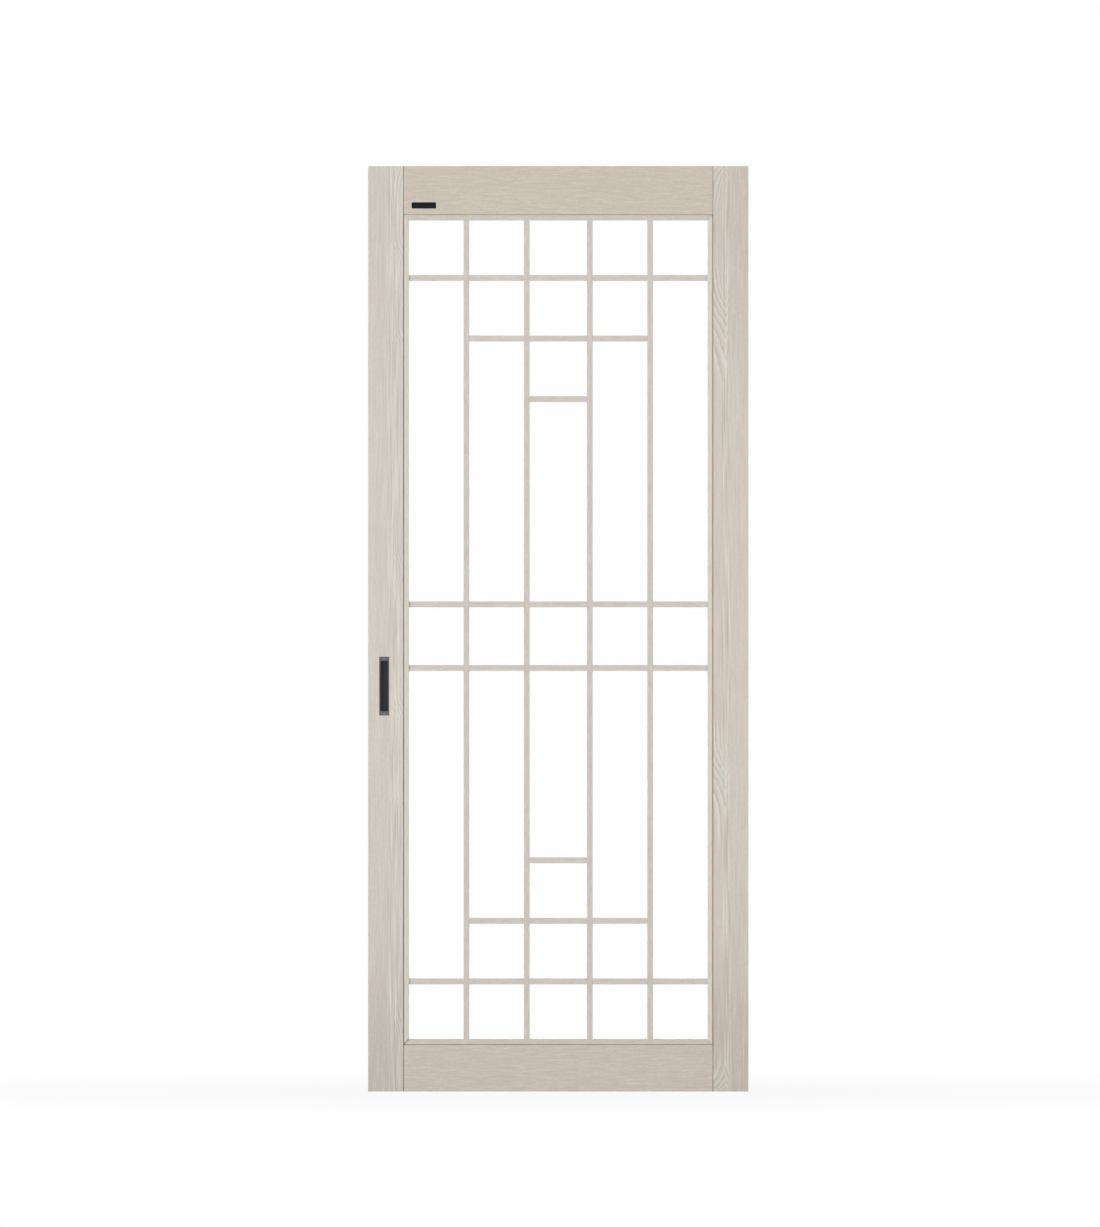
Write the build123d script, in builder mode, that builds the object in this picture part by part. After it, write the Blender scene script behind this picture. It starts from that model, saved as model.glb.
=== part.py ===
"""Lattice sliding door leaf.

A frame of two stiles and two rails, dowelled together, holds one pane of glass between a front and a back set
of mitred beads. A lattice of thin bars lies on each face of the glass. The left stile carries a flush pull on
each face. The leaf runs on two rollers let into the feet of the stiles, and two guide shoes in the groove of
the top edge keep it upright.

Millimetres. +Z is up, +X runs from the pull stile to the other stile, and the front faces -Y.
The origin is the middle of the bottom edge.
"""

import os

from build123d import *

# Leaf
leaf_height = 2100.0
leaf_width = 863.0
leaf_thickness = 36.0
stile_width = 80.0
top_rail_height = 110.0
bottom_rail_height = 106.0
edge_ease = 0.5
joint_groove_width = 0.8
joint_groove_depth = 1.5

# Grooves for the floor rail and the head guide
floor_groove_depth = 14.0
head_groove_width = 12.0
head_groove_depth = 15.0

# Dowels between stiles and rails
dowel_radius = 5.0
dowel_length = 70.0
dowel_chamfer = 1.0
dowel_edge_distance = 20.0
dowel_groove_distance = 14.3
dowel_clearance = 0.1

# Glass and its bedding
glass_thickness = 5.0
glass_edge_clearance = 3.0
glass_edge_chamfer = 0.4
tape_thickness = 1.0
tape_setback = 1.0
tape_end_gap = 0.5
block_length = 80.0
block_place_share = 0.25

# Beads
bead_reach = 12.5
left_bead_gap = 1.35
right_bead_gap = 1.0
top_bead_gap = 0.25
bottom_bead_gap = 0.4
bead_recess = 1.5
bead_bevel_width = 4.0
bead_bevel_depth = 1.0
bead_ease = 0.4
mitre_gap = 0.45
open_mitre_gap = 1.0

# Lattice
bar_width = 13.0
bar_depth = 9.0
bar_ease = 0.8
lattice_steps = 3
cell_height = 124.5
centre_cell_width = 130.0
band_height = 131.5
band_drop = 14.7
lap_clearance = 0.1
lap_stub = 8.0

# Countersunk screws
screw_radius = 1.5
screw_head_radius = 2.75
screw_head_rim = 0.3
screw_length = 14.0
screw_tip = 3.0
screw_cross_width = 0.7
screw_cross_length = 3.2
screw_cross_depth = 1.0
screw_clearance = 0.15

# Flush pulls and the blank plate
trim_proud = 0.6
trim_clearance = 0.2
pull_height = 920.0
pull_inset = 36.5
pull_width = 22.5
pull_length = 133.0
pull_thickness = 1.6
pull_corner = 1.0
pull_ease = 0.4
pull_screw_margin = 4.2
recess_width = 17.5
recess_length = 114.0
recess_depth = 10.5
recess_corner = 3.0
recess_floor_radius = 1.5
recess_draft_angle = 6.0
cup_wall = 1.2
plate_width = 55.5
plate_height = 14.0
plate_thickness = 1.2
plate_corner = 2.4
plate_ease = 0.4
plate_border = 1.1
plate_field_depth = 0.25
plate_side_margin = 18.6
plate_lower_margin = 13.8

# Rollers
wheel_radius = 16.0
wheel_width = 8.0
wheel_hub_wall = 2.4
wheel_rim_wall = 1.9
wheel_web_thickness = 4.0
tread_depth = 2.6
tread_floor = 0.5
wheel_floor_clearance = 5.0
wheel_case_clearance = 2.8
axle_radius = 2.5
axle_clearance = 0.05
press_clearance = 0.02
bush_wall = 1.5
bush_side_play = 0.2
case_wall = 1.2
case_side_gap = 0.6
case_top_gap = 1.5
case_bend_radius = 0.6
case_fit_clearance = 0.2
tab_length = 14.0
tab_corner = 2.0
mortise_clearance = 0.4

# Guide shoes
shoe_length = 40.0
shoe_end_margin = 6.0
shoe_clearance = 0.1
shoe_top_drop = 1.0
shoe_slot_width = 7.0
shoe_floor = 3.0
shoe_lead_in = 1.2

# Frame opening, and the faces that the pieces seat on
face = leaf_thickness / 2
stile_centre = (leaf_width - stile_width) / 2
opening_half_width = leaf_width / 2 - stile_width
opening_bottom = bottom_rail_height
opening_top = leaf_height - top_rail_height
glass_face = glass_thickness / 2
bead_back = glass_face + tape_thickness
bead_depth = face - bead_recess - bead_back
bead_left = left_bead_gap - opening_half_width
bead_right = opening_half_width - right_bead_gap
bead_bottom = opening_bottom + bottom_bead_gap
bead_top = opening_top - top_bead_gap
sight_half_width = opening_half_width - bead_reach
sight_bottom = opening_bottom + bead_reach
sight_top = opening_top - bead_reach
sight_middle = (sight_bottom + sight_top) / 2
joint_planes = [Plane.YZ.offset(side * opening_half_width) for side in (-1, 1)]
glass_plane = Plane.XZ.offset(glass_face)

# Lattice lines: four uprights, and crossbars that step in by one upright towards the middle band
side_cell_width = (sight_half_width - centre_cell_width / 2) / 2 - bar_width
inner_upright = (centre_cell_width + bar_width) / 2
outer_upright = inner_upright + side_cell_width + bar_width
upright_places = [-outer_upright, -inner_upright, inner_upright, outer_upright]
row_pitch = cell_height + bar_width
band_centre = sight_middle - band_drop
band_offset = (band_height + bar_width) / 2
upper_rows = [(sight_top - row_pitch * (row + 1) + bar_width / 2, row) for row in range(lattice_steps)]
lower_rows = [(sight_bottom + row_pitch * (row + 1) - bar_width / 2, row) for row in range(lattice_steps)]
band_rows = [(band_centre + band_offset, 0), (band_centre - band_offset, 0)]
crossbars = upper_rows + band_rows + lower_rows[::-1]
lap_width = bar_width + 2 * lap_clearance
lap_depth = (bar_depth - lap_clearance) / 2

# Roller levels, from the bottom edge up
wheel_centre = wheel_floor_clearance + wheel_radius
case_inner_width = wheel_width + 2 * case_side_gap
case_width = case_inner_width + 2 * case_wall
case_length = 2 * (wheel_radius + wheel_case_clearance + case_wall)
case_top = wheel_centre + wheel_radius + case_top_gap + case_wall
tab_under = floor_groove_depth - case_wall
floor_groove_width = case_width + 2 * case_fit_clearance
bush_radius = axle_radius + axle_clearance + bush_wall
wheel_bore = bush_radius + press_clearance
wheel_hub_radius = wheel_bore + wheel_hub_wall
wheel_rim_radius = wheel_radius - tread_depth - wheel_rim_wall
tread_mouth = tread_floor + 2 * tread_depth

# Screw places: a plane at each head, facing out of the piece that the screw holds
pull_place = pull_inset - leaf_width / 2
pull_screw_offset = pull_length / 2 - pull_screw_margin
pull_screw_planes = [
    Plane((pull_place, -face - trim_proud, pull_height + side * pull_screw_offset), (1, 0, 0), (0, -1, 0))
    for side in (-1, 1)
]
shoe_place = leaf_width / 2 - shoe_end_margin - shoe_length / 2
shoe_base = leaf_height - head_groove_depth
shoe_screw_planes = [Plane((side * shoe_place, 0, shoe_base + shoe_floor)) for side in (-1, 1)]
tab_screw_offset = (case_length + tab_length) / 2
roller_screw_planes = [
    Plane((side * stile_centre + end * tab_screw_offset, 0, tab_under), (1, 0, 0), (0, 0, -1))
    for side in (-1, 1)
    for end in (-1, 1)
]

finished = {}

# Screws and their seats
cone_end = screw_head_rim + screw_head_radius - screw_radius


def turn_screw(clearance):
    """Countersunk screw body grown by a clearance: head at the origin, pointing down."""
    head = screw_head_radius + clearance
    shank = screw_radius + clearance
    with BuildPart() as body:
        with BuildSketch(Plane.XZ):
            with BuildLine():
                Polyline(
                    (0, 0),
                    (head, 0),
                    (head, -screw_head_rim),
                    (shank, -cone_end),
                    (shank, screw_tip - screw_length),
                    (0, -screw_length - clearance),
                    close=True,
                )
            make_face()
        revolve(axis=Axis.Z)
    return body.part


with BuildPart() as screw:
    add(turn_screw(0))
    with BuildSketch(Plane.XY):
        Rectangle(screw_cross_length, screw_cross_width)
        Rectangle(screw_cross_width, screw_cross_length)
    extrude(amount=-screw_cross_depth, mode=Mode.SUBTRACT)

screw_seat = turn_screw(screw_clearance)


def set_out(piece, planes):
    """A copy of one piece on each of the planes."""
    with BuildPart() as row:
        with Locations(*planes):
            add(piece)
    return row.part


screw_seats = set_out(screw_seat, roller_screw_planes + shoe_screw_planes)

# Cutters that several frame members share, so that grooves and bores line up across the joints
with BuildPart() as track_grooves:
    with BuildSketch(Plane.YZ):
        Rectangle(floor_groove_width, 2 * floor_groove_depth)
        with Locations((0, leaf_height)):
            Rectangle(head_groove_width, 2 * head_groove_depth)
    extrude(amount=leaf_width, both=True)

top_dowel_heights = [opening_top + dowel_edge_distance, shoe_base - dowel_groove_distance]
bottom_dowel_heights = [opening_bottom - dowel_edge_distance, case_top + dowel_groove_distance]

with BuildPart() as dowel_bores:
    with BuildSketch(*joint_planes):
        with Locations(*[(0, height) for height in top_dowel_heights + bottom_dowel_heights]):
            Circle(dowel_radius + dowel_clearance)
    extrude(amount=dowel_length / 2 + dowel_clearance, both=True)

with BuildPart() as roller_mortises:
    with BuildSketch(Plane.XY):
        with Locations((-stile_centre, 0), (stile_centre, 0)):
            Rectangle(case_length + 2 * mortise_clearance, floor_groove_width)
    extrude(amount=case_top + mortise_clearance)

# The pocket for one pull: a shallow seat for its plate, a deep one for its cup, and two screw bores
cup_width = recess_width + 2 * cup_wall
cup_length = recess_length + 2 * cup_wall
cup_depth = recess_depth + cup_wall
pull_seat = pull_thickness - trim_proud

with BuildPart() as pull_pocket:
    with BuildSketch(Plane.XZ.offset(face)):
        with Locations((pull_place, pull_height)):
            Rectangle(pull_width + 2 * trim_clearance, pull_length + 2 * trim_clearance)
    extrude(amount=-pull_seat)
    with BuildSketch(Plane.XZ.offset(face)):
        with Locations((pull_place, pull_height)):
            Rectangle(cup_width + 2 * trim_clearance, cup_length + 2 * trim_clearance)
    extrude(amount=-(cup_depth + trim_clearance))
    add(set_out(screw_seat, pull_screw_planes))

with BuildPart() as both_pull_pockets:
    add(pull_pocket.part)
    mirror(about=Plane.XZ)

# The seat of the blank plate in the face of the top rail
plate_place = (
    plate_side_margin - opening_half_width + plate_width / 2,
    opening_top + plate_lower_margin + plate_height / 2,
)
plate_seat = plate_thickness - trim_proud

with BuildPart() as plate_pocket:
    with BuildSketch(Plane.XZ.offset(face)):
        with Locations(plate_place):
            RectangleRounded(
                plate_width + 2 * trim_clearance,
                plate_height + 2 * trim_clearance,
                plate_corner + trim_clearance,
            )
    extrude(amount=-plate_seat)


# Frame members
def make_stile(side, extra_cuts):
    """One full-height stile: side is -1 for the pull stile and 1 for the other."""
    with BuildPart() as stile:
        with BuildSketch(Plane.XY):
            with Locations((side * stile_centre, 0)):
                Rectangle(stile_width, leaf_thickness)
        extrude(amount=leaf_height)
        fillet(stile.edges().filter_by(Axis.Z), radius=edge_ease)
        for cutter in (track_grooves, dowel_bores, roller_mortises, *extra_cuts):
            add(cutter.part, mode=Mode.SUBTRACT)
        add(screw_seats, mode=Mode.SUBTRACT)
    return stile.part


def make_rail(bottom, height, extra_cuts):
    """One rail between the stiles, with a fine shadow groove down each end of both faces."""
    with BuildPart() as rail:
        with BuildSketch(Plane.YZ):
            with Locations((0, bottom + height / 2)):
                Rectangle(leaf_thickness, height)
        extrude(amount=opening_half_width, both=True)
        fillet(rail.edges().filter_by(Axis.X), radius=edge_ease)
        with BuildSketch(Plane.XY.offset(bottom)):
            with GridLocations(2 * opening_half_width, leaf_thickness, 2, 2):
                Rectangle(2 * joint_groove_width, 2 * joint_groove_depth)
        extrude(amount=height, mode=Mode.SUBTRACT)
        for cutter in (track_grooves, dowel_bores, *extra_cuts):
            add(cutter.part, mode=Mode.SUBTRACT)
    return rail.part


finished["left_stile"] = make_stile(-1, [both_pull_pockets])
finished["right_stile"] = make_stile(1, [])
finished["top_rail"] = make_rail(opening_top, top_rail_height, [plate_pocket])
finished["bottom_rail"] = make_rail(0, bottom_rail_height, [])


# Dowels: two at each end of a rail
def make_dowels(heights):
    """The four dowels of one rail."""
    with BuildPart() as dowels:
        with BuildSketch(*joint_planes):
            with Locations(*[(0, height) for height in heights]):
                Circle(dowel_radius)
        extrude(amount=dowel_length / 2, both=True)
        chamfer(dowels.edges().filter_by(GeomType.CIRCLE), length=dowel_chamfer)
    return dowels.part


finished["top_rail_dowels"] = make_dowels(top_dowel_heights)
finished["bottom_rail_dowels"] = make_dowels(bottom_dowel_heights)

# Glass pane, with ground edges, standing on two setting blocks
glass_width = 2 * (opening_half_width - glass_edge_clearance)
glass_height = opening_top - opening_bottom - 2 * glass_edge_clearance
opening_middle = (opening_bottom + opening_top) / 2

with BuildPart() as glass_pane:
    with BuildSketch(Plane.XZ):
        with Locations((0, opening_middle)):
            Rectangle(glass_width, glass_height)
    extrude(amount=glass_face, both=True)
    chamfer(glass_pane.faces().filter_by(Axis.Y).edges(), length=glass_edge_chamfer)
finished["glass_pane"] = glass_pane.part

with BuildPart() as setting_blocks:
    with BuildSketch(Plane.XY.offset(opening_bottom)):
        block_place = block_place_share * glass_width
        with Locations((-block_place, 0), (block_place, 0)):
            Rectangle(block_length, glass_thickness)
    extrude(amount=glass_edge_clearance)
finished["setting_blocks"] = setting_blocks.part

# Glazing tape on one face of the glass: four strips from just outside the sight edges to the frame, so that
# they close the clearance at the glass's edge
tape_width = bead_reach - tape_setback
tape_line_x = sight_half_width + tape_setback + tape_width / 2
tape_line_low = sight_bottom - tape_setback - tape_width / 2
tape_line_high = sight_top + tape_setback + tape_width / 2

with BuildPart() as glazing_tape:
    with BuildSketch(glass_plane):
        with Locations((0, tape_line_low), (0, tape_line_high)):
            Rectangle(2 * tape_line_x + tape_width, tape_width)
        with Locations((-tape_line_x, sight_middle), (tape_line_x, sight_middle)):
            Rectangle(tape_width, tape_line_high - tape_line_low - tape_width - 2 * tape_end_gap)
    extrude(amount=tape_thickness)


# Beads: mitred strips with a bevel towards the glass, set back from the frame's face
def make_bead(*outline):
    """One bead from the corners of its outline, outer edge first."""
    with BuildPart() as bead:
        with BuildSketch(Plane.XZ.offset(bead_back)):
            with BuildLine():
                Polyline(*outline, close=True)
            make_face()
        extrude(amount=bead_depth)
        front = bead.faces().sort_by(Axis.Y)[0]
        sight_edge = front.edges().sort_by(SortBy.LENGTH)[-2]
        chamfer(sight_edge, length=bead_bevel_width, length2=bead_bevel_depth, reference=front)
        outer_edge = bead.faces().sort_by(Axis.Y)[0].edges().sort_by(SortBy.LENGTH)[-1]
        fillet(outer_edge, radius=bead_ease)
    return bead.part


def make_side_bead(outer, sight, lower_gap):
    """A left or right bead, from the places of its edges, held short of the mitre lines by its gaps."""
    return make_bead(
        (outer, bead_bottom + lower_gap),
        (outer, bead_top - mitre_gap),
        (sight, sight_top - mitre_gap),
        (sight, sight_bottom + lower_gap),
    )


def make_level_bead(outer, sight):
    """The top or bottom bead, from the heights of its outer and its sight edge."""
    return make_bead(
        (bead_left, outer),
        (bead_right, outer),
        (sight_half_width, sight),
        (-sight_half_width, sight),
    )


front_beads = {
    "left_bead": make_side_bead(bead_left, -sight_half_width, open_mitre_gap),
    "right_bead": make_side_bead(bead_right, sight_half_width, mitre_gap),
    "top_bead": make_level_bead(bead_top, sight_top),
    "bottom_bead": make_level_bead(bead_bottom, sight_bottom),
}
back_beads = dict(front_beads, left_bead=make_side_bead(bead_left, -sight_half_width, mitre_gap))


# Lattice: the uprights show whole, and are cut away behind for the crossbars
def make_upright(place, rank):
    """One upright: rank is 0 for an outer one and 1 for an inner one."""
    inward = -1 if place > 0 else 1
    crossed = [(place, height) for height, reach in crossbars if reach <= rank]
    housed = [(place + inward * bar_width / 2, height) for height, reach in crossbars if reach == rank + 1]
    with BuildPart() as upright:
        with BuildSketch(glass_plane):
            with Locations((place, sight_middle)):
                Rectangle(bar_width, sight_top - sight_bottom - 2 * lap_clearance)
        extrude(amount=bar_depth)
        fillet(upright.faces().sort_by(Axis.Y)[0].edges().filter_by(Axis.Z), radius=bar_ease)
        with BuildSketch(glass_plane):
            with Locations(*crossed):
                Rectangle(2 * bar_width, lap_width)
            with Locations(*housed):
                Rectangle(2 * (lap_stub + lap_clearance), lap_width)
        extrude(amount=lap_depth + lap_clearance, mode=Mode.SUBTRACT)
    return upright.part


def make_crossbar(height, reach):
    """One crossbar: reach 0 runs from bead to bead, 1 and 2 end on the outer and the inner uprights."""
    if reach:
        shoulder = abs(upright_places[reach - 1]) - bar_width / 2
        tongue_end = shoulder + lap_stub
    else:
        shoulder = sight_half_width
        tongue_end = shoulder - lap_clearance
    crossed = [(place, height) for place in upright_places[reach : len(upright_places) - reach]]
    with BuildPart() as crossbar:
        with BuildSketch(glass_plane):
            with Locations((0, height)):
                Rectangle(2 * (shoulder - lap_clearance), bar_width)
        extrude(amount=bar_depth)
        fillet(crossbar.faces().sort_by(Axis.Y)[0].edges().filter_by(Axis.X), radius=bar_ease)
        if crossed:
            with BuildSketch(glass_plane.offset(lap_depth)):
                with Locations(*crossed):
                    Rectangle(lap_width, 2 * bar_width)
            extrude(amount=bar_depth, mode=Mode.SUBTRACT)
        with BuildSketch(glass_plane):
            with Locations((0, height)):
                Rectangle(2 * tongue_end, bar_width)
        extrude(amount=lap_depth)
    return crossbar.part


lattice = {}
for number, place in enumerate(upright_places):
    rank = min(number, len(upright_places) - 1 - number)
    lattice[f"upright_{number + 1}"] = make_upright(place, rank)
for number, (height, reach) in enumerate(crossbars):
    lattice[f"crossbar_{number + 1}"] = make_crossbar(height, reach)

# Flush pull: a plate with a drafted finger cup, held by a screw at each end
with BuildPart() as pull:
    with BuildSketch(Plane.XZ.offset(face - pull_seat)):
        with Locations((pull_place, pull_height)):
            RectangleRounded(pull_width, pull_length, pull_corner)
    extrude(amount=pull_thickness)
    chamfer(pull.faces().sort_by(Axis.Y)[0].edges(), length=pull_ease)
    with BuildSketch(Plane.XZ.offset(face - pull_seat)):
        with Locations((pull_place, pull_height)):
            RectangleRounded(cup_width, cup_length, recess_corner + cup_wall)
    extrude(amount=pull_seat - cup_depth)
    with BuildSketch(Plane.XZ.offset(face + trim_proud)):
        with Locations((pull_place, pull_height)):
            RectangleRounded(recess_width, recess_length, recess_corner)
    extrude(amount=-(recess_depth + trim_proud), taper=recess_draft_angle, mode=Mode.SUBTRACT)
    floor = pull.faces().filter_by(Axis.Y).group_by(Axis.Y)[-2]
    fillet(floor.edges(), radius=recess_floor_radius)
    add(set_out(screw_seat, pull_screw_planes), mode=Mode.SUBTRACT)

# Blank plate on the top rail: a raised border round a plain field
with BuildPart() as blank_plate:
    with BuildSketch(Plane.XZ.offset(face - plate_seat)):
        with Locations(plate_place):
            RectangleRounded(plate_width, plate_height, plate_corner)
    extrude(amount=plate_thickness)
    chamfer(blank_plate.faces().sort_by(Axis.Y)[0].edges(), length=plate_ease)
    with BuildSketch(Plane.XZ.offset(face + trim_proud)):
        with Locations(plate_place):
            RectangleRounded(
                plate_width - 2 * plate_border,
                plate_height - 2 * plate_border,
                plate_corner - plate_border,
            )
    extrude(amount=-plate_field_depth, mode=Mode.SUBTRACT)
finished["blank_plate"] = blank_plate.part

# Pieces that are the same on both faces of the leaf
both_faces = {
    "glazing_tape": glazing_tape.part,
    **lattice,
    "pull": pull.part,
    "pull_screws": set_out(screw.part, pull_screw_planes),
}
for name, part in {**front_beads, **both_faces}.items():
    finished[f"front_{name}"] = part
for name, part in {**back_beads, **both_faces}.items():
    with BuildPart() as back_piece:
        mirror(part, about=Plane.XZ)
    finished[f"back_{name}"] = back_piece.part


# Rollers
def make_case(place):
    """Pressed steel case, open below, with a screw tab at each end."""
    with BuildPart() as case:
        with BuildSketch(Plane.XY.offset(tab_under)):
            with Locations((place, 0)):
                RectangleRounded(case_length, case_width, case_bend_radius + case_wall)
        extrude(amount=case_top - tab_under)
        with BuildSketch(Plane.XY.offset(tab_under)):
            with Locations((place, 0)):
                RectangleRounded(case_length + 2 * tab_length, case_width, tab_corner)
        extrude(amount=case_wall)
        with BuildSketch(Plane.XY.offset(tab_under)):
            with Locations((place, 0)):
                RectangleRounded(case_length - 2 * case_wall, case_inner_width, case_bend_radius)
        extrude(amount=case_top - tab_under - case_wall, mode=Mode.SUBTRACT)
        with Locations(Plane((place, 0, wheel_centre), (1, 0, 0), (0, -1, 0))):
            Hole(axle_radius + press_clearance)
        add(screw_seats, mode=Mode.SUBTRACT)
    return case.part


def make_wheel(place):
    """Moulded wheel with a V tread for the floor rail and a thin web between hub and rim."""
    web_cut = (wheel_width - wheel_web_thickness) / 2
    web_cut_line = (wheel_width - web_cut) / 2
    with BuildPart() as wheel:
        with BuildSketch(Plane((place, 0, wheel_centre))):
            with Locations((wheel_bore, 0)):
                Rectangle(wheel_radius - wheel_bore, wheel_width, align=(Align.MIN, Align.CENTER))
            with BuildLine():
                Polyline(
                    (wheel_radius, tread_mouth / 2),
                    (wheel_radius - tread_depth, tread_floor / 2),
                    (wheel_radius - tread_depth, -tread_floor / 2),
                    (wheel_radius, -tread_mouth / 2),
                    close=True,
                )
            make_face(mode=Mode.SUBTRACT)
            with Locations((wheel_hub_radius, web_cut_line), (wheel_hub_radius, -web_cut_line)):
                Rectangle(
                    wheel_rim_radius - wheel_hub_radius,
                    web_cut,
                    align=(Align.MIN, Align.CENTER),
                    mode=Mode.SUBTRACT,
                )
        revolve(axis=Axis((place, 0, wheel_centre), (0, 1, 0)))
    return wheel.part


def make_bush(place):
    """Plain bearing bush, pressed into the wheel and a little wider than it."""
    with BuildPart() as bush:
        with BuildSketch(Plane((place, 0, wheel_centre), (1, 0, 0), (0, -1, 0))):
            Circle(bush_radius)
            Circle(axle_radius + axle_clearance, mode=Mode.SUBTRACT)
        extrude(amount=case_inner_width / 2 - bush_side_play, both=True)
    return bush.part


def make_axle(place):
    """Axle pin, riveted flush with the walls of the case."""
    with BuildPart() as axle:
        with BuildSketch(Plane((place, 0, wheel_centre), (1, 0, 0), (0, -1, 0))):
            Circle(axle_radius)
        extrude(amount=case_width / 2, both=True)
    return axle.part


# Guide shoes: slotted blocks in the groove of the top edge
def make_shoe(place):
    """One guide shoe, flared at both ends of its slot."""
    shoe_width = head_groove_width - 2 * shoe_clearance
    shoe_height = head_groove_depth - shoe_top_drop
    with BuildPart() as shoe:
        with BuildSketch(Plane.XY.offset(shoe_base)):
            with Locations((place, 0)):
                Rectangle(shoe_length, shoe_width)
        extrude(amount=shoe_height)
        with BuildSketch(Plane.XY.offset(shoe_base + shoe_floor)):
            with Locations((place, 0)):
                Rectangle(shoe_length, shoe_slot_width)
        extrude(amount=shoe_height, mode=Mode.SUBTRACT)
        slot_corners = shoe.edges().filter_by(Axis.Z).group_by(lambda edge: abs(edge.center().Y))[0]
        chamfer(slot_corners, length=shoe_lead_in)
        add(screw_seats, mode=Mode.SUBTRACT)
    return shoe.part


for side, name in ((-1, "left"), (1, "right")):
    place = side * stile_centre
    finished[f"{name}_roller_case"] = make_case(place)
    finished[f"{name}_roller_wheel"] = make_wheel(place)
    finished[f"{name}_roller_bush"] = make_bush(place)
    finished[f"{name}_roller_axle"] = make_axle(place)
    finished[f"{name}_roller_screws"] = set_out(
        screw.part, [plane for plane in roller_screw_planes if plane.origin.X * side > 0]
    )
    finished[f"{name}_guide_shoe"] = make_shoe(side * shoe_place)
finished["guide_shoe_screws"] = set_out(screw.part, shoe_screw_planes)

# Export
os.makedirs("parts", exist_ok=True)
for name, part in finished.items():
    part.label = name
    export_step(part, f"parts/{name}.step")
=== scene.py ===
"""Lattice sliding door leaf: the finish of every piece, the studio light and the camera.

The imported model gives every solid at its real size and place, in metres: +Z is up, the front faces -Y and the
pull stile is at -X. This script dresses those solids and sets them up in front of a long lens.
"""

import logging
import math
from collections.abc import Mapping
from dataclasses import dataclass, replace
from enum import Enum
from typing import Any

import bpy
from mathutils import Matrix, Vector

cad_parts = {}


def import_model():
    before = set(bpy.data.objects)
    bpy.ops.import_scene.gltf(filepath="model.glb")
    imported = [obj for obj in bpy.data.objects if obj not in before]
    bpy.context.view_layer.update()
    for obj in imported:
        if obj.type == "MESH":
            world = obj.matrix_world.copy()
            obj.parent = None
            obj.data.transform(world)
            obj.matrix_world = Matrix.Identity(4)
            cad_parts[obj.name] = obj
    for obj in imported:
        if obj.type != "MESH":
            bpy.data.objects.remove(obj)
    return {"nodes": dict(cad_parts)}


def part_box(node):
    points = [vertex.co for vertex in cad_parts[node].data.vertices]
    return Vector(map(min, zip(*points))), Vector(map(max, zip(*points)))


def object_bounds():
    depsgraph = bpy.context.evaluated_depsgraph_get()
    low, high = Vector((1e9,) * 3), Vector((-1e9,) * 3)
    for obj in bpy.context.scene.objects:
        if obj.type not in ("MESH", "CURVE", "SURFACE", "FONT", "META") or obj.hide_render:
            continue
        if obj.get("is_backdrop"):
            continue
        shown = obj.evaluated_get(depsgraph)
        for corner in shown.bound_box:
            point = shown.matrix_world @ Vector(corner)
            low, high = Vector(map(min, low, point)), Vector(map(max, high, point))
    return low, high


LOG = logging.getLogger("lattice_door")
MM = 0.001
STREAK_DETAIL = 2.0
# The mix node has sockets for each kind of data, told apart by number.
FLOAT_A, FLOAT_B = 2, 3
COLOUR_A, COLOUR_B, COLOUR_MIXED = 6, 7, 2

Knots = tuple[tuple[float, float], ...]


def to_linear(colour: str) -> tuple[float, float, float, float]:
    """Turn an sRGB hex colour into linear light, with the numbers of the sRGB standard.

    Args:
        colour: The colour as "#RRGGBB".

    Returns:
        Linear red, green and blue, and an alpha of one.
    """
    shares = [int(colour[start : start + 2], 16) / 255 for start in (1, 3, 5)]
    red, green, blue = (s / 12.92 if s <= 0.04045 else ((s + 0.055) / 1.055) ** 2.4 for s in shares)
    return red, green, blue, 1.0


def add_node(
    tree: bpy.types.NodeTree,
    kind: str,
    settings: Mapping[str, Any] | None = None,
    inputs: Mapping[int | str, Any] | None = None,
) -> bpy.types.Node:
    """Add a node with its settings and links.

    Args:
        tree: The node tree to add to.
        kind: The node's Blender type.
        settings: The node's own properties.
        inputs: For each input socket, the socket that feeds it or its plain value.

    Returns:
        The new node.
    """
    node = tree.nodes.new(kind)
    for name, value in (settings or {}).items():
        setattr(node, name, value)
    for socket, value in (inputs or {}).items():
        if isinstance(value, bpy.types.NodeSocket):
            tree.links.new(value, node.inputs[socket])
        else:
            node.inputs[socket].default_value = value
    return node


@dataclass(frozen=True)
class Ramp:
    """How one value follows another: straight from a start to an end, and level outside them."""

    start: float = 0.0
    end: float = 1.0
    at_start: float = 0.0
    at_end: float = 1.0

    def inputs(self, value: bpy.types.NodeSocket) -> dict[int | str, Any]:
        """Give the inputs of a map range node.

        Args:
            value: The value that is followed.

        Returns:
            What each input socket gets.
        """
        return {
            "Value": value,
            "From Min": self.start,
            "From Max": self.end,
            "To Min": self.at_start,
            "To Max": self.at_end,
        }


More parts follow.
